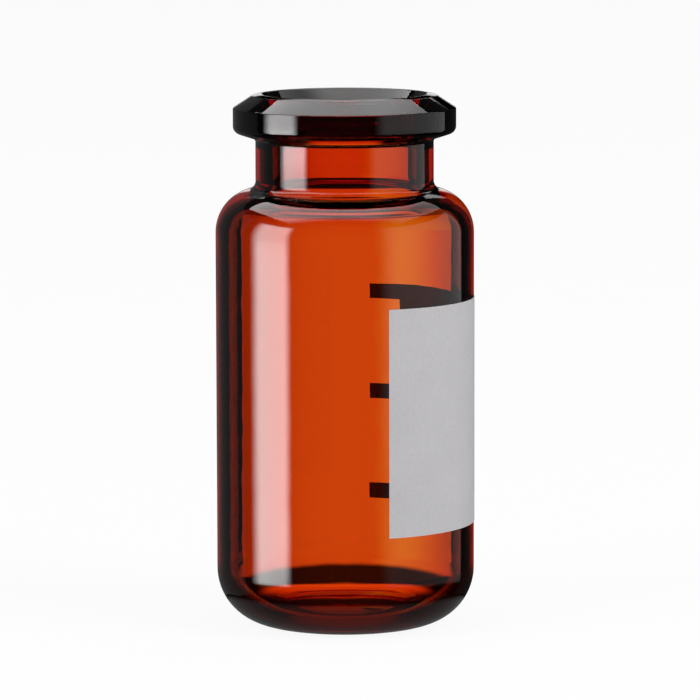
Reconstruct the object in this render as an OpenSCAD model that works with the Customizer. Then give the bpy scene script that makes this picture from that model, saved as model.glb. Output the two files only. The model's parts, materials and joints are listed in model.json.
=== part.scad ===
// Amber glass sample vial with a bevelled crimp flange, an enamel write-on patch and fill ticks.
// The vial stands on its base: the origin is the centre of the base, +Z is up and -Y is the front.

/* [Barrel] */
// Outside diameter of the barrel
body_d = 22.5; // [20.5:0.1:30]
// Height from the base to the top of the lip
height = 46.45; // [40:0.05:80]
// Glass thickness of the barrel
wall = 1.1; // [0.8:0.05:1.6]

/* [Base] */
// Outside radius of the rounded heel
heel_r = 4.9; // [3:0.1:6]
// Glass thickness of the floor above the standing ring
floor_t = 1.3; // [0.8:0.05:2.5]
// Width of the flat ring that the vial stands on
ring_w = 0.6; // [0.3:0.1:1.5]
// Rise of the underside at its centre
push_up = 0.5; // [0.2:0.05:0.9]
// Rise of the floor inside at its centre
floor_rise = 0.35; // [0.2:0.05:0.9]

/* [Shoulder and neck] */
// Slope of the shoulder in degrees
shoulder_slope = 15; // [5:1:30]
// Outside radius where the barrel turns into the shoulder
shoulder_r = 3.8; // [1.5:0.1:5]
// Glass thickness of the shoulder
shoulder_wall = 1.2; // [0.8:0.05:1.8]
// Outside diameter of the neck
neck_d = 15.5; // [14.8:0.1:16.6]
// Length of the neck from the shoulder to the flange
neck_len = 4.25; // [3:0.05:8]
// Outside radius at the root of the neck
neck_root_r = 0.8; // [0.3:0.1:1.2]
// Diameter of the bore through the neck
bore_d = 12.6; // [11.6:0.1:12.8]
// Inside radius where the bore opens into the shoulder
bore_root_r = 1.6; // [0.5:0.1:2]

/* [Flange] */
// Outside diameter of the crimp flange
flange_d = 19.4; // [18.6:0.1:20.4]
// Height of the straight side of the flange
land_h = 2.05; // [1.2:0.05:3]
// Slope of the flange's underside in degrees
under_slope = 18; // [5:1:30]
// Radius of the flange's lower edge
under_r = 0.65; // [0.2:0.05:0.9]
// Radius where the underside meets the neck
under_root_r = 0.35; // [0.1:0.05:0.6]
// Height of the bevel from the straight side up to the lip
bevel_h = 1.1; // [0.6:0.05:1.6]
// Radius of the flange's upper edges
bevel_edge_r = 0.15; // [0.05:0.05:0.3]

/* [Lip] */
// Diameter of the lip at the top of the bevel
lip_d = 16.1; // [15.6:0.1:16.6]
// Diameter of the lip's highest line, where the mouth begins
mouth_d = 14.5; // [13.8:0.1:14.9]
// Height of the lip above the bevel
crown_h = 0.15; // [0.05:0.05:0.3]
// Depth of the flare from the lip down to the bore
flare_h = 1.15; // [0.6:0.05:1.6]
// Radius of the mouth's edge
mouth_edge_r = 0.25; // [0.05:0.05:0.3]
// Radius where the flare runs into the bore
flare_root_r = 0.8; // [0.2:0.1:1]

/* [Enamel] */
// Thickness of the fired enamel
enamel_t = 0.05; // [0.03:0.01:0.1]
// Height of the patch's lower edge above the base
patch_z = 9.05; // [7:0.05:12]
// Height of the patch
patch_h = 19.7; // [14:0.1:22]
// Angle round the barrel from the front to the patch, in degrees
patch_start_angle = 19.5; // [0:0.5:40]
// Angle round the barrel that the patch covers, in degrees
patch_sweep_angle = 132.5; // [90:0.5:150]
// Number of fill ticks at the patch's far edge
tick_count = 3; // [2:1:5]
// Height of one tick
tick_h = 1.35; // [0.8:0.05:2]
// Height of the lowest tick above the patch's lower edge
tick_foot_h = 0.35; // [0:0.05:2]
// Angle round the barrel that a tick covers, in degrees
tick_sweep_angle = 16; // [8:0.5:25]

/* [Hidden] */
$fn = 96;

// Radii worked out from the diameters
body_r = body_d / 2;
inner_r = body_r - wall;
neck_r = neck_d / 2;
bore_r = bore_d / 2;
flange_r = flange_d / 2;
lip_r = lip_d / 2;
mouth_r = mouth_d / 2;

// Heights from the lip down to the barrel
bevel_top_z = height - crown_h;
land_top_z = bevel_top_z - bevel_h;
land_foot_z = land_top_z - land_h;
under_z = land_foot_z - (flange_r - neck_r) * tan(under_slope);
neck_foot_z = under_z - neck_len;
shoulder_z = neck_foot_z - (body_r - neck_r) * tan(shoulder_slope);

// The inside of the shoulder runs parallel to the outside
shoulder_drop = shoulder_wall / cos(shoulder_slope);
inner_shoulder_z = shoulder_z + wall * tan(shoulder_slope) - shoulder_drop;
bore_foot_z = shoulder_z + (body_r - bore_r) * tan(shoulder_slope) - shoulder_drop;

// The shoulder's radii share the length of its slope, with a short straight run between them
slope_run = 0.05;
slope_share = tan(45 - shoulder_slope / 2);
outer_slope_len = (body_r - neck_r) / cos(shoulder_slope);
inner_slope_len = (inner_r - bore_r) / cos(shoulder_slope);
shoulder_fit_r = min(shoulder_r, (outer_slope_len - slope_run) / slope_share - neck_root_r);
inner_shoulder_r = min(shoulder_fit_r - wall, (inner_slope_len - slope_run) / slope_share - bore_root_r);

// How far a cut or a fill reaches past the surface that it works on
overlap = 0.1;
// How far a rounding arc is pushed over the edges that it joins, so that it crosses both
nudge = 0.0005;

// The inside of the heel follows the outside
inner_heel_r = heel_r - wall;
// The dished underside and the raised floor end at the standing ring
dish_r = body_r - heel_r - ring_w;

// The front of the vial faces -Y, so angles round the barrel are counted from there
front_angle = -90;
patch_end_angle = patch_start_angle + patch_sweep_angle;

// The ticks share the patch's height, and the highest one is level with its upper edge
tick_foot_z = patch_z + tick_foot_h;
tick_pitch = (patch_h - tick_foot_h - tick_h) / (tick_count - 1);

// Points round the glass section, from the base outward, over the lip and down the inside.
// Each holds a radius from the axis, a height and the rounding of that corner.
vial_outline = [
    [0, 0, 0],
    [body_r, 0, heel_r],
    [body_r, shoulder_z, shoulder_fit_r],
    [neck_r, neck_foot_z, neck_root_r],
    [neck_r, under_z, under_root_r],
    [flange_r, land_foot_z, under_r],
    [flange_r, land_top_z, bevel_edge_r],
    [lip_r, bevel_top_z, bevel_edge_r],
    [mouth_r, height, mouth_edge_r],
    [bore_r, height - flare_h, flare_root_r],
    [bore_r, bore_foot_z, bore_root_r],
    [inner_r, inner_shoulder_z, inner_shoulder_r],
    [inner_r, floor_t, inner_heel_r],
    [0, floor_t, 0],
];

// A corner of an outline, counted round past its ends
function corner_at(outline, i) =
    let (c = outline[(i + len(outline)) % len(outline)]) [c[0], c[1]];

// Unit vector from corner i of an outline to the corner that is step places on
function edge_at(outline, i, step) =
    let (edge = corner_at(outline, i + step) - corner_at(outline, i)) edge / norm(edge);

// Half of the angle between the two edges at corner i
function half_angle_at(outline, i) = acos(edge_at(outline, i, -1) * edge_at(outline, i, 1)) / 2;

// True where the outline turns left, which it does at its outward corners
function is_outward(outline, i) = cross(edge_at(outline, i, 1), edge_at(outline, i, -1)) > 0;

// The point on one edge of corner i where its rounding begins
function tangent_at(outline, i, step) =
    corner_at(outline, i) + edge_at(outline, i, step) * outline[i][2] / tan(half_angle_at(outline, i));

// The points at corner i before it is rounded: an inward corner is cut across
function blank_points(outline, i) =
    outline[i][2] == 0 || is_outward(outline, i)
        ? [corner_at(outline, i)]
        : [tangent_at(outline, i, -1), tangent_at(outline, i, 1)];

// Radius of the arc over a chord of half width a with rise h
function arc_radius(a, h) = (a * a + h * h) / (2 * h);

// What is taken away to round corner i: a disc at an inward corner, the tip at an outward one
module rounding_cut(outline, i) {
    corner = corner_at(outline, i);
    bisector = edge_at(outline, i, -1) + edge_at(outline, i, 1);
    inward = bisector / norm(bisector);
    r = outline[i][2];
    difference() {
        if (is_outward(outline, i))
            polygon([tangent_at(outline, i, -1), corner - overlap * inward, tangent_at(outline, i, 1)]);
        translate(corner + inward * (r / sin(half_angle_at(outline, i)) - nudge))
            circle(r = r);
    }
}

// A closed outline with its corners rounded
module rounded_outline(outline) {
    corners = [0 : len(outline) - 1];
    difference() {
        polygon([for (i = corners) each blank_points(outline, i)]);
        for (i = corners)
            if (outline[i][2] > 0)
                rounding_cut(outline, i);
    }
}

// Half of a lens on the axis, as wide as the dished part of the base
module half_dome(rise) {
    dome_r = arc_radius(dish_r, rise);
    intersection() {
        translate([0, rise - dome_r])
            circle(r = dome_r);
        translate([0, -overlap])
            square([body_r, rise + overlap]);
    }
}

// One field of enamel fired onto the barrel, between two heights and two angles from the front
module enamel_field(foot_z, h, start_angle, sweep_angle) {
    rotate([0, 0, front_angle + start_angle])
        rotate_extrude(angle = sweep_angle)
            translate([body_r, foot_z])
                square([enamel_t, h]);
}

module glass_vial() {
    color([0.76, 0.24, 0.04])
        rotate_extrude()
            difference() {
                union() {
                    rounded_outline(vial_outline);
                    translate([0, floor_t])
                        half_dome(floor_rise);
                }
                half_dome(push_up);
            }
}

module write_on_patch() {
    color([0.86, 0.86, 0.87])
        enamel_field(patch_z, patch_h, patch_start_angle, patch_sweep_angle);
}

module graduation_marks() {
    color([0.84, 0.84, 0.85])
        for (i = [0 : tick_count - 1])
            enamel_field(tick_foot_z + i * tick_pitch, tick_h, patch_end_angle, tick_sweep_angle);
}

glass_vial();
write_on_patch();
graduation_marks();
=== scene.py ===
# Looks of an amber glass sample vial: its glass, its enamel print, a white studio and the camera.
import json
import math

import bpy
from mathutils import Matrix, Vector


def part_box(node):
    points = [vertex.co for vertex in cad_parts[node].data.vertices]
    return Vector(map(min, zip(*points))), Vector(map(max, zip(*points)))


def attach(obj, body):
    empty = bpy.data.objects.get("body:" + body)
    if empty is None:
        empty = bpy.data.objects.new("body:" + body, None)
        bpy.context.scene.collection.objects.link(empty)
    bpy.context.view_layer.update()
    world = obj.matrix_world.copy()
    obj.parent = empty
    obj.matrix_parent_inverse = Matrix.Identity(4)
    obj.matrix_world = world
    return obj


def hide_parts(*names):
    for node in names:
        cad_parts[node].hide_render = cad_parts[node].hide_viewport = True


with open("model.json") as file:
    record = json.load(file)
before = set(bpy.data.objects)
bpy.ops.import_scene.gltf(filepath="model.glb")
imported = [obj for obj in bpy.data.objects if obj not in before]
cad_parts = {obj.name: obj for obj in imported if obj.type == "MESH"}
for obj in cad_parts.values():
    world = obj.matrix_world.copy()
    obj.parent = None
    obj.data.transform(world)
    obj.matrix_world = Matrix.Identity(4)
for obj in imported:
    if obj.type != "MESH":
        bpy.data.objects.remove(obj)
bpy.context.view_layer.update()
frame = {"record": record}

# Sizes are in millimetres and angles in degrees.
# Angles round the vial are counted from its front, to the right.
MM = 0.001

# Sizes that the frame gives
mounts = {mount["name"]: mount["dims"] for mount in frame["record"]["mounts"]}
BODY_R = mounts["barrel"]["r_mm"]
FLANGE_R = mounts["crimp_flange"]["r_mm"]
BORE_R = mounts["neck_bore"]["r_mm"]
patch_low, patch_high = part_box("write_on_patch")
tick_low, tick_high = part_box("graduation_marks")
PATCH_FOOT = patch_low.z / MM
PATCH_TOP = patch_high.z / MM
TICK_FOOT = tick_low.z / MM
TICK_TOP = tick_high.z / MM

# Sizes of the glass section: barrel and base
HEIGHT = 46.45
WALL = 1.1
HEEL_R = 4.9
FLOOR_T = 1.3
RING_W = 0.6
PUSH_UP = 0.5
FLOOR_RISE = 0.35

# Shoulder and neck
SHOULDER_SLOPE = 15
SHOULDER_R = 3.8
SHOULDER_WALL = 1.2
NECK_R = 7.75
NECK_LEN = 4.25
NECK_ROOT_R = 0.8
BORE_ROOT_R = 1.6

# Flange: its straight side, its underside and its bevel
LAND_H = 2.05
UNDER_SLOPE = 18
UNDER_R = 0.65
UNDER_ROOT_R = 0.35
BEVEL_H = 1.1
BEVEL_EDGE_R = 0.15

# Lip and mouth
LIP_R = 8.05
MOUTH_R = 7.25
CROWN_H = 0.15
FLARE_H = 1.15
MOUTH_EDGE_R = 0.25
FLARE_ROOT_R = 0.8

# Sizes of the print, which sinks a little into the glass so that no gap shows under it
ENAMEL_T = 0.05
ENAMEL_SINK = 0.02
PATCH_START = 19.5
PATCH_SWEEP = 132.5
PATCH_END = PATCH_START + PATCH_SWEEP
TICK_SWEEP = 16
TICK_END = PATCH_END + TICK_SWEEP
TICK_H = 1.35
TICK_COUNT = 3

# Looks of the materials: the glass, whose colour takes effect by depth, the enamels and the floor
GLASS_IOR = 1.5
AMBER = (0.941, 0.55, 0.07, 1)
AMBER_DENSITY = 2800
PATCH_TONE = (0.467, 0.457, 0.471)
TICK_TONE = (0.447, 0.438, 0.451)
FLOOR_TONE = (0.9, 0.9, 0.9, 1)

# How bright the studio is, where 1 is white
LEFT_SOFTBOX = 10
TOP_SOFTBOX = 3.3
RIGHT_CARD = 0.65
LEFT_BACK_CARD = 0.1
BACK_CARD = 0.96
CEILING_GLOW = 1.2
FLOOR_GLOW = 1.2
HEEL_GLOW = 0.15
FLOOR_SHADE = 0.01
WORLD_FILL = 0.5
WORLD_MIRRORED = 0.02
# What the world loses each time that the glass mirrors it
MIRROR_LOSS = 0.65
# How much of the floor is plain white to the camera; the rest takes the shadow
FLOOR_WHITE = 0.92

# Places in the studio, out from the vial's axis and up from the floor
SOFTBOX_R = 300
SOFTBOX_FOOT = -150
SOFTBOX_TOP = 215
CEILING_Z = 345
CEILING_GAP = 5
BACK_Y = 250
FLOOR_CARD_R = 30
FLOOR_LIT_HALF_W = 8.7
FLOOR_LIT_LENGTH = 14.3
FLOOR_WHITE_Y = 18
HEEL_GLOW_R = 14.5
HEEL_GLOW_EDGE = 2
UNDER_FLOOR_Z = -0.05
MOUTH_GAP = 0.1
FLOOR_HALF = 3000
LAMP_SIZE = 400

# The window between two side flags, through which the back card shows
WINDOW_Y = 60
WINDOW_LEFT = -22
WINDOW_RIGHT = 24
SIDE_FLAG_END = 90
SIDE_FLAG_HALF_H = 60

# The dark collar round the neck
COLLAR_R = 22
COLLAR_Z = 41.5
COLLAR_TOP = 52
COLLAR_GAP = 0.55

# The nearer card and the floor repeat the back card's light, this many times narrower
WINDOW_SCALE = 2.3
FLOOR_SCALE = 3.2

# How finely curves and cards are divided
TURN_STEPS = 288
ARC_STEP = 5
DOME_STEPS = 24
CURVED_STEPS = 96
FLAT_STEPS = 64
RING_STEPS = 192
# Edges that turn more than this stay sharp
SHARP_ANGLE = 30


def span(start, end, steps):
    """Evenly spaced values from start to end."""
    return [start + (end - start) * step / steps for step in range(steps + 1)]


def rounded_profile(corners):
    """Points along an open outline of (radius, height, rounding) corners, with each rounding as an arc."""
    points = []
    for i, (r, z, rounding) in enumerate(corners):
        corner = Vector((r, z))
        if rounding == 0:
            points.append(corner)
            continue
        back = (Vector(corners[i - 1][:2]) - corner).normalized()
        ahead = (Vector(corners[i + 1][:2]) - corner).normalized()
        half = back.angle(ahead) / 2
        centre = corner + (back + ahead).normalized() * rounding / math.sin(half)
        first = corner + back * rounding / math.tan(half) - centre
        last = corner + ahead * rounding / math.tan(half) - centre
        turn = first.angle_signed(last)
        steps = max(2, math.ceil(abs(math.degrees(turn)) / ARC_STEP))
        for step in range(steps + 1):
            points.append(centre + Matrix.Rotation(-turn * step / steps, 2) @ first)
    return points


def dome_profile(rim_r, rim_z, rise):
    """Points of a shallow dome on the axis, from its rim to its top."""
    radius = (rim_r ** 2 + rise ** 2) / (2 * rise)
    spread = math.asin(rim_r / radius)
    angles = [spread * (1 - step / DOME_STEPS) for step in range(DOME_STEPS + 1)]
    return [Vector((radius * math.sin(a), rim_z + rise - radius * (1 - math.cos(a)))) for a in angles]


def vial_profile():
    """The glass section, from the middle of the base outward, over the lip and down to the floor inside."""
    slope = math.tan(math.radians(SHOULDER_SLOPE))
    drop = SHOULDER_WALL / math.cos(math.radians(SHOULDER_SLOPE))
    inner_r = BODY_R - WALL
    bevel_top = HEIGHT - CROWN_H
    land_top = bevel_top - BEVEL_H
    land_foot = land_top - LAND_H
    under = land_foot - (FLANGE_R - NECK_R) * math.tan(math.radians(UNDER_SLOPE))
    neck_foot = under - NECK_LEN
    shoulder = neck_foot - (BODY_R - NECK_R) * slope
    dish_r = BODY_R - HEEL_R - RING_W
    corners = [
        (dish_r, 0, 0),
        (BODY_R, 0, HEEL_R),
        (BODY_R, shoulder, SHOULDER_R),
        (NECK_R, neck_foot, NECK_ROOT_R),
        (NECK_R, under, UNDER_ROOT_R),
        (FLANGE_R, land_foot, UNDER_R),
        (FLANGE_R, land_top, BEVEL_EDGE_R),
        (LIP_R, bevel_top, BEVEL_EDGE_R),
        (MOUTH_R, HEIGHT, MOUTH_EDGE_R),
        (BORE_R, HEIGHT - FLARE_H, FLARE_ROOT_R),
        (BORE_R, shoulder + (BODY_R - BORE_R) * slope - drop, BORE_ROOT_R),
        (inner_r, shoulder + WALL * slope - drop, SHOULDER_R - WALL),
        (inner_r, FLOOR_T, HEEL_R - WALL),
        (dish_r, FLOOR_T, 0),
    ]
    underside = dome_profile(dish_r, 0, PUSH_UP)[:0:-1]
    floor = dome_profile(dish_r, FLOOR_T, FLOOR_RISE)[1:]
    return underside + rounded_profile(corners) + floor


def around(radius, height, angle):
    """The point in metres at a radius, a height and an angle from the front."""
    turn = math.radians(angle)
    return (radius * math.sin(turn) * MM, -radius * math.cos(turn) * MM, height * MM)


def new_piece(name, points, faces, material):
    """A smooth mesh object in the scene."""
    mesh = bpy.data.meshes.new(name)
    mesh.from_pydata(points, [], faces)
    mesh.validate()
    mesh.polygons.foreach_set("use_smooth", [True] * len(mesh.polygons))
    mesh.materials.append(material)
    piece = bpy.data.objects.new(name, mesh)
    bpy.context.scene.collection.objects.link(piece)
    return piece


def turned_piece(name, profile, material):
    """A closed body of revolution from a profile that starts and ends on the axis."""
    rings = profile[1:-1]
    points = [around(p.x, p.y, 360 * step / TURN_STEPS) for p in rings for step in range(TURN_STEPS)]
    foot = len(points)
    points += [around(0, profile[0].y, 0), around(0, profile[-1].y, 0)]
    faces = []
    for step in range(TURN_STEPS):
        following = (step + 1) % TURN_STEPS
        faces.append((foot, following, step))
        for ring in range(len(rings) - 1):
            low = ring * TURN_STEPS
            high = low + TURN_STEPS
            faces.append((low + step, low + following, high + following, high + step))
        last = (len(rings) - 1) * TURN_STEPS
        faces.append((last + step, last + following, foot + 1))
    return new_piece(name, points, faces, material)


def enamel_fields(name, fields, material):
    """Thin curved fields on the barrel, each given by its lower and upper edge and its two end angles."""
    points = []
    faces = []
    for foot, top, start, end in fields:
        columns = math.ceil((end - start) * TURN_STEPS / 360)
        corners = [
            (BODY_R - ENAMEL_SINK, foot),
            (BODY_R + ENAMEL_T, foot),
            (BODY_R + ENAMEL_T, top),
            (BODY_R - ENAMEL_SINK, top),
        ]
        sides = len(corners)
        base = len(points)
        for angle in span(start, end, columns):
            points += [around(r, z, angle) for r, z in corners]
        for column in range(columns):
            here = base + sides * column
            there = here + sides
            for side in range(sides):
                following = (side + 1) % sides
                faces.append((here + side, there + side, there + following, here + following))
        last = base + sides * columns
        faces.append(tuple(range(base, base + sides)))
        faces.append(tuple(reversed(range(last, last + sides))))
    piece = new_piece(name, points, faces, material)
    piece.data.set_sharp_from_angle(angle=math.radians(SHARP_ANGLE))
    return piece


def new_material(name):
    """A node material with its tree and its Principled shader."""
    material = bpy.data.materials.new(name)
    material.use_nodes = True
    tree = material.node_tree
    return material, tree, tree.nodes["Principled BSDF"]


def bare_material(name):
    """A node material with its tree, which holds nothing but an output."""
    material = bpy.data.materials.new(name)
    material.use_nodes = True
    tree = material.node_tree
    tree.nodes.clear()
    return material, tree, tree.nodes.new("ShaderNodeOutputMaterial")


def feed(tree, value, socket):
    """Give a node's input a plain number, or link it to another node's output."""
    if isinstance(value, bpy.types.NodeSocket):
        tree.links.new(value, socket)
    else:
        socket.default_value = value


def calculate(tree, operation, *values, clamp=False):
    """The result of a sum on numbers or other nodes' outputs, kept between 0 and 1 if it is clamped."""
    node = tree.nodes.new("ShaderNodeMath")
    node.operation = operation
    node.use_clamp = clamp
    for value, socket in zip(values, node.inputs):
        feed(tree, value, socket)
    return node.outputs[0]


def blend(tree, share, low, high):
    """A value that goes from low to high as the share goes from 0 to 1."""
    node = tree.nodes.new("ShaderNodeMix")
    feed(tree, share, node.inputs["Factor"])
    feed(tree, low, node.inputs["A"])
    feed(tree, high, node.inputs["B"])
    return node.outputs["Result"]


def noise_between(tree, scale, low, high, detail=2.0):
    """A value that wanders between two levels over the surface, about once in scale millimetres."""
    place = tree.nodes.new("ShaderNodeTexCoord")
    noise = tree.nodes.new("ShaderNodeTexNoise")
    noise.inputs["Scale"].default_value = 1 / (scale * MM)
    noise.inputs["Detail"].default_value = detail
    tree.links.new(place.outputs["Object"], noise.inputs["Vector"])
    # Plain noise seldom leaves the middle of its range, so that part is stretched to the two levels
    levels = tree.nodes.new("ShaderNodeMapRange")
    levels.inputs["From Min"].default_value = 0.3
    levels.inputs["From Max"].default_value = 0.7
    levels.inputs["To Min"].default_value = low
    levels.inputs["To Max"].default_value = high
    tree.links.new(noise.outputs["Fac"], levels.inputs["Value"])
    return levels.outputs["Result"]


def bump_from(tree, height, depth):
    """A bump of that many millimetres from a height between 0 and 1."""
    bump = tree.nodes.new("ShaderNodeBump")
    bump.inputs["Distance"].default_value = depth * MM
    tree.links.new(height, bump.inputs["Height"])
    return bump.outputs["Normal"]


def amber_glass():
    """Clear amber glass, tinted by its thickness, with the faint draw of tubing in its surface."""
    material, tree, shader = new_material("amber_glass")
    shader.inputs["Base Color"].default_value = (1, 1, 1, 1)
    shader.inputs["Transmission Weight"].default_value = 1
    shader.inputs["IOR"].default_value = GLASS_IOR
    haze = noise_between(tree, scale=3.0, low=0.0, high=0.012)
    draw = noise_between(tree, scale=6.0, low=0.0, high=1.0)
    tree.links.new(haze, shader.inputs["Roughness"])
    tree.links.new(bump_from(tree, draw, depth=0.01), shader.inputs["Normal"])
    absorption = tree.nodes.new("ShaderNodeVolumeAbsorption")
    absorption.inputs["Color"].default_value = AMBER
    absorption.inputs["Density"].default_value = AMBER_DENSITY
    tree.links.new(absorption.outputs["Volume"], tree.nodes["Material Output"].inputs["Volume"])
    return material


def white_enamel(name, tone):
    """Matt fired enamel with a fine printed grain."""
    material, tree, shader = new_material(name)
    grain = noise_between(tree, scale=0.25, low=0.95, high=1.03, detail=3.0)
    cloud = noise_between(tree, scale=4.0, low=0.97, high=1.02)
    colour = tree.nodes.new("ShaderNodeVectorMath")
    colour.operation = "SCALE"
    colour.inputs[0].default_value = tone
    tree.links.new(calculate(tree, "MULTIPLY", grain, cloud), colour.inputs["Scale"])
    tree.links.new(colour.outputs["Vector"], shader.inputs["Base Color"])
    matt = noise_between(tree, scale=0.4, low=0.48, high=0.62)
    pits = noise_between(tree, scale=0.12, low=0.0, high=1.0)
    tree.links.new(matt, shader.inputs["Roughness"])
    tree.links.new(bump_from(tree, pits, depth=0.004), shader.inputs["Normal"])
    return material


def glow(name):
    """A card's plain light, in the colour that each of its points carries."""
    material, tree, output = bare_material(name)
    material.cycles.emission_sampling = "NONE"
    colour = tree.nodes.new("ShaderNodeAttribute")
    colour.attribute_name = "glow"
    light = tree.nodes.new("ShaderNodeEmission")
    tree.links.new(colour.outputs["Color"], light.inputs["Color"])
    tree.links.new(light.outputs[0], output.inputs["Surface"])
    return material


def ease(value, start, end):
    """0 before start, 1 after end and smooth between them."""
    share = min(1, max(0, (value - start) / (end - start)))
    return share * share * (3 - 2 * share)


def fade(value, start, end):
    """1 before start, 0 after end and smooth between them."""
    return 1 - ease(value, start, end)


def card(name, points, columns, places, level_at, tint_at=None, through=False):
    """A studio card that only the glass sees, mirrored in its surface or else through itself.

    Its points come row by row, and each has a place that its level and tint are worked out from.
    """
    row = columns + 1
    faces = []
    for start in range(0, len(points) - row, row):
        for low in range(start, start + columns):
            faces.append((low, low + 1, low + row + 1, low + row))
    piece = new_piece(name, points, faces, glow(name))
    colours = []
    for place in places:
        tint = tint_at(*place) if tint_at else (1, 1, 1)
        colours += [level_at(*place) * part for part in tint] + [1]
    piece.data.attributes.new("glow", "FLOAT_COLOR", "POINT").data.foreach_set("color", colours)
    piece.visible_camera = False
    piece.visible_diffuse = False
    piece.visible_shadow = False
    piece.visible_volume_scatter = False
    piece.visible_glossy = not through
    piece.visible_transmission = through


def wall_card(
    name, level_at, start, end, radius=SOFTBOX_R, low=SOFTBOX_FOOT, high=SOFTBOX_TOP, through=False
):
    """A tall curved card or flag round the vial between two angles, with its level by angle and height."""
    angles = span(start, end, CURVED_STEPS)
    places = [(angle, height) for height in span(low, high, CURVED_STEPS) for angle in angles]
    points = [around(radius, height, angle) for angle, height in places]
    card(name, points, CURVED_STEPS, places, level_at, through=through)


def level_card(name, level_at, half_width, front, back, height, through=False):
    """A level card or flag, with its level by its place across and along."""
    across = span(-half_width, half_width, FLAT_STEPS)
    places = [(x, y) for y in span(front, back, FLAT_STEPS) for x in across]
    points = [(x * MM, y * MM, height * MM) for x, y in places]
    card(name, points, FLAT_STEPS, places, level_at, through=through)


def ring_card(name, level_at, outer, height, inner=0, tint_at=None, through=False):
    """A level ring round the axis, or a disc, with its level and tint by its place across and along."""
    angles = span(0, 360, RING_STEPS)
    radii = span(inner, outer, CURVED_STEPS)
    points = [around(radius, height, angle) for radius in radii for angle in angles]
    places = [(x / MM, y / MM) for x, y, z in points]
    card(name, points, RING_STEPS, places, level_at, tint_at, through)


def upright_card(name, level_at, left, right, distance, low, high, tint_at=None):
    """An upright card or flag behind the vial, seen through it, with its level and tint across it."""
    across = span(left, right, FLAT_STEPS)
    points = [(x * MM, distance * MM, height * MM) for height in (low, high) for x in across]
    places = [(x,) for x in across + across]
    card(name, points, FLAT_STEPS, places, level_at, tint_at, through=True)


def dark(*place):
    """A flag gives no light."""
    return 0


def left_level(angle, height):
    """The left softbox: even, with soft ends and edges, and a little dimmer in its upper part."""
    ends = ease(angle, -93, -78.5) * fade(angle, -55.8, -46.8)
    edges = ease(height, -75, -47) * fade(height, 185, 215)
    upper = ease(height, 12, 19)
    return LEFT_SOFTBOX * ends * edges * (1 - 0.2 * upper)


def right_level(angle, height):
    """The right card: dim, with a soft front end, and dimmer still near the floor."""
    ends = ease(angle, 28, 44) * fade(angle, 124, 126)
    foot = ease(height, -85, -60) * (0.4 + 0.6 * ease(height, -34, -20))
    return RIGHT_CARD * ends * foot


def left_back_level(angle, height):
    """The card further back on the left: faint and even."""
    return LEFT_BACK_CARD


def rim_level(angle, height):
    """The card behind the vial that edges the shoulder, from its foot, and the lip, from its top."""
    foot = fade(height, 80, 100) * fade(abs(angle - 180), 6, 10)
    top = ease(height, 150, 175)
    return foot + top


def top_level(x, y):
    """The softbox overhead: it fades towards the front and dims on the right."""
    return TOP_SOFTBOX * ease(y, -240, -90) * (1 - 0.7 * ease(x, 60, 220))


def ceiling_level(x, y):
    """The light in the dark ceiling: it fades towards its sides."""
    return CEILING_GLOW * fade(abs(x), 60, 130)


def heel_level(x, y):
    """The floor close round the vial, as its heel mirrors it."""
    return HEEL_GLOW * fade(math.hypot(x, y), HEEL_GLOW_R - HEEL_GLOW_EDGE, HEEL_GLOW_R)


def back_level(x):
    """The back card: it dims towards its sides, more so on the left."""
    return BACK_CARD * (1 - 0.45 * ease(-x, 6, 45)) * (1 - 0.2 * ease(x, 20, 62))


def cool_spot(x):
    """How much of the cooler light falls on the right of the back card."""
    return ease(x, 7.5, 17) * (1 - 0.6 * ease(x, 19, 40))


def cooler(spot, red, green, blue):
    """The tint of a card where that much of the cooler light falls, from what it adds to each colour."""
    return (1 + red * spot, 1 + green * spot, 1 + blue * spot)


def back_tint(x):
    """The cooler light on the back card, which the glass turns to a paler orange."""
    return cooler(cool_spot(x), red=0.15, green=1.75, blue=1.5)


def window_level(x):
    """The nearer card behind the shoulder, as bright as the part of the back card that it hides."""
    return back_level(WINDOW_SCALE * x)


def window_tint(x):
    """The cooler light on the nearer card, which reaches its right end."""
    return cooler(ease(x, 3.3, 7.5), red=0.05, green=1.8, blue=1.4)


def floor_level(x, y):
    """The floor seen through the base, with its light and shade painted in: a painted shadow under the
    vial, a painted pool of light at its back, then a dark ring of painted shadow, then white.
    """
    middle = fade(abs(x), 3.5, 6.5)
    # Painted shadow under the vial, deeper at its back than at its front
    under = middle * (0.02 + 0.08 * ease(-y, 5, 8.5))
    # Painted pool of light on the floor just behind the vial
    lit_edge = fade(math.hypot(x / FLOOR_LIT_HALF_W, y / FLOOR_LIT_LENGTH), 0.88, 1.08)
    lit = FLOOR_GLOW * ease(y, 1.5, 6) * lit_edge
    # The dark ring of painted shadow round the vial ends here and the white floor begins
    beyond_dark = ease(math.hypot(1.7 * x, y), 24.5, 28)
    between_sides = fade(abs(x) - 0.16 * y, 10.2, 12)
    white = back_level(FLOOR_SCALE * x) * beyond_dark * between_sides
    return FLOOR_SHADE + max(under, lit) + white


def floor_tint(x, y):
    """The cooler light of the back card, carried on over the white floor."""
    spot = cool_spot(FLOOR_SCALE * x) if y > FLOOR_WHITE_Y else 0
    return cooler(spot, red=0.12, green=1.3, blue=1.5)


def build_softboxes():
    """The softboxes, cards and flags that the glass mirrors."""
    wall_card("left_softbox", left_level, start=-94, end=-46.5)
    wall_card("right_card", right_level, start=28, end=126)
    wall_card("left_back_card", left_back_level, start=-172, end=-100)
    wall_card("rim_card", rim_level, start=160, end=200, low=45, high=240)
    level_card(
        "top_softbox", top_level, half_width=340, front=-240, back=300,
        height=CEILING_Z + CEILING_GAP,
    )
    ring_card("mouth_flag", dark, outer=BORE_R - MOUTH_GAP, height=HEIGHT - FLARE_H)
    ring_card("heel_glow", heel_level, outer=HEEL_GLOW_R, height=UNDER_FLOOR_Z)


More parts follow.
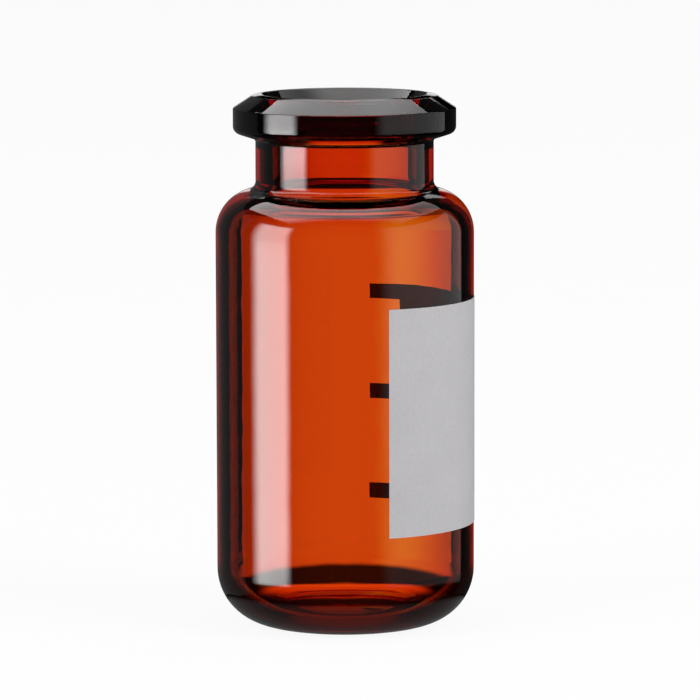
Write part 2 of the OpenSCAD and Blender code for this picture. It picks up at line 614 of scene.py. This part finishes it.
def build_backdrop():
    """The cards and flags that show through the glass and give it its bright middle and dark edges."""
    wall_card("black_wall", dark, start=105, end=255, radius=320, low=-500, high=CEILING_Z, through=True)
    wall_card("front_flag", dark, start=-105, end=105, radius=140, low=55, high=CEILING_Z, through=True)
    level_card("ceiling_flag", dark, half_width=700, front=-700, back=700, height=CEILING_Z, through=True)
    level_card(
        "ceiling_glow", ceiling_level, half_width=130, front=180, back=290,
        height=CEILING_Z - CEILING_GAP, through=True,
    )
    ring_card("collar_flag", dark, inner=NECK_R + COLLAR_GAP, outer=COLLAR_R, height=COLLAR_Z, through=True)
    wall_card(
        "collar_wall", dark, start=100, end=260,
        radius=COLLAR_R, low=COLLAR_Z, high=COLLAR_TOP, through=True,
    )
    upright_card(
        "back_card", back_level, left=-130, right=130,
        distance=BACK_Y, low=-45, high=32, tint_at=back_tint,
    )
    upright_card(
        "left_flag", dark, left=-SIDE_FLAG_END, right=WINDOW_LEFT,
        distance=WINDOW_Y, low=-SIDE_FLAG_HALF_H, high=SIDE_FLAG_HALF_H,
    )
    upright_card(
        "right_flag", dark, left=WINDOW_RIGHT, right=SIDE_FLAG_END,
        distance=WINDOW_Y, low=-SIDE_FLAG_HALF_H, high=SIDE_FLAG_HALF_H,
    )
    upright_card(
        "shoulder_card", window_level, left=WINDOW_LEFT, right=WINDOW_RIGHT,
        distance=WINDOW_Y, low=33, high=52, tint_at=window_tint,
    )
    ring_card(
        "floor_card", floor_level, outer=FLOOR_CARD_R,
        height=UNDER_FLOOR_Z, tint_at=floor_tint, through=True,
    )


def build_world():
    """White where the camera looks, straight or through the glass, dim where mirrored, else a soft fill."""
    world = bpy.data.worlds.new("studio")
    bpy.context.scene.world = world
    world.use_nodes = True
    tree = world.node_tree
    path = tree.nodes.new("ShaderNodeLightPath").outputs
    looked = calculate(tree, "MAXIMUM", path["Is Camera Ray"], path["Is Transmission Ray"])
    bounced = calculate(tree, "MULTIPLY_ADD", path["Glossy Depth"], MIRROR_LOSS, path["Diffuse Depth"])
    seen = calculate(tree, "SUBTRACT", looked, bounced, clamp=True)
    mirrored = calculate(tree, "MAXIMUM", path["Is Glossy Ray"], path["Glossy Depth"], clamp=True)
    unseen = blend(tree, mirrored, WORLD_FILL, WORLD_MIRRORED)
    background = tree.nodes["Background"]
    background.inputs["Color"].default_value = (1, 1, 1, 1)
    tree.links.new(blend(tree, seen, unseen, 1), background.inputs["Strength"])


def build_floor():
    """A white floor that keeps a faint shadow and that the glass doesn't see."""
    material, tree, output = bare_material("floor")
    paint = tree.nodes.new("ShaderNodeBsdfDiffuse")
    paint.inputs["Color"].default_value = FLOOR_TONE
    white = tree.nodes.new("ShaderNodeEmission")
    path = tree.nodes.new("ShaderNodeLightPath").outputs
    mix = tree.nodes.new("ShaderNodeMixShader")
    tree.links.new(calculate(tree, "MULTIPLY", path["Is Camera Ray"], FLOOR_WHITE), mix.inputs["Fac"])
    tree.links.new(paint.outputs[0], mix.inputs[1])
    tree.links.new(white.outputs[0], mix.inputs[2])
    tree.links.new(mix.outputs[0], output.inputs["Surface"])
    half = FLOOR_HALF * MM
    corners = [(-half, -half, 0), (half, -half, 0), (half, half, 0), (-half, half, 0)]
    floor = new_piece("floor", corners, [(0, 1, 2, 3)], material)
    floor.visible_glossy = False
    floor.visible_transmission = False


def build_lamp(name, place, power):
    """A soft lamp that lights the print and the floor, aimed at the vial's foot and unseen in the glass."""
    lamp = bpy.data.lights.new(name, "AREA")
    lamp.size = LAMP_SIZE * MM
    lamp.energy = power
    holder = bpy.data.objects.new(name, lamp)
    holder.location = Vector(place) * MM
    holder.rotation_euler = (-Vector(place)).to_track_quat("-Z", "Y").to_euler()
    holder.visible_glossy = False
    holder.visible_transmission = False
    bpy.context.scene.collection.objects.link(holder)


def build_camera():
    """A long lens in front of the vial and a little above it, aimed near its middle."""
    side = 0.43
    distance = 428
    height = 77.26
    aim_height = 24
    roll = math.radians(0.14)
    place = Vector((side, -distance, height)) * MM
    aim = Vector((side, 0, aim_height)) * MM
    data = bpy.data.cameras.new("camera")
    data.sensor_width = 36
    data.lens = 254
    data.clip_start = 10 * MM
    camera = bpy.data.objects.new("camera", data)
    camera.location = place
    look = (aim - place).to_track_quat("-Z", "Y")
    camera.rotation_euler = (look.to_matrix() @ Matrix.Rotation(-roll, 3, "Z")).to_euler()
    bpy.context.scene.collection.objects.link(camera)
    bpy.context.scene.camera = camera


def build_vial():
    """The glass and its print."""
    glass = turned_piece("vial", vial_profile(), amber_glass())
    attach(glass, "root")
    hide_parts("glass_vial")
    patch_field = (PATCH_FOOT, PATCH_TOP, PATCH_START, PATCH_END)
    patch = enamel_fields("patch", [patch_field], white_enamel("patch_enamel", PATCH_TONE))
    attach(patch, "root")
    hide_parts("write_on_patch")
    feet = span(TICK_FOOT, TICK_TOP - TICK_H, TICK_COUNT - 1)
    tick_fields = [(foot, foot + TICK_H, PATCH_END, TICK_END) for foot in feet]
    ticks = enamel_fields("ticks", tick_fields, white_enamel("tick_enamel", TICK_TONE))
    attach(ticks, "root")
    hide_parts("graduation_marks")


scene = bpy.context.scene
scene.view_settings.view_transform = "Standard"
scene.cycles.use_denoising = True
scene.cycles.max_bounces = 32
scene.cycles.transmission_bounces = 32
scene.cycles.glossy_bounces = 16

build_camera()
build_vial()
build_world()
build_floor()
build_softboxes()
build_backdrop()
build_lamp("key_lamp", place=(580, -340, 480), power=3.6)
build_lamp("fill_lamp", place=(-500, -350, 450), power=2.0)
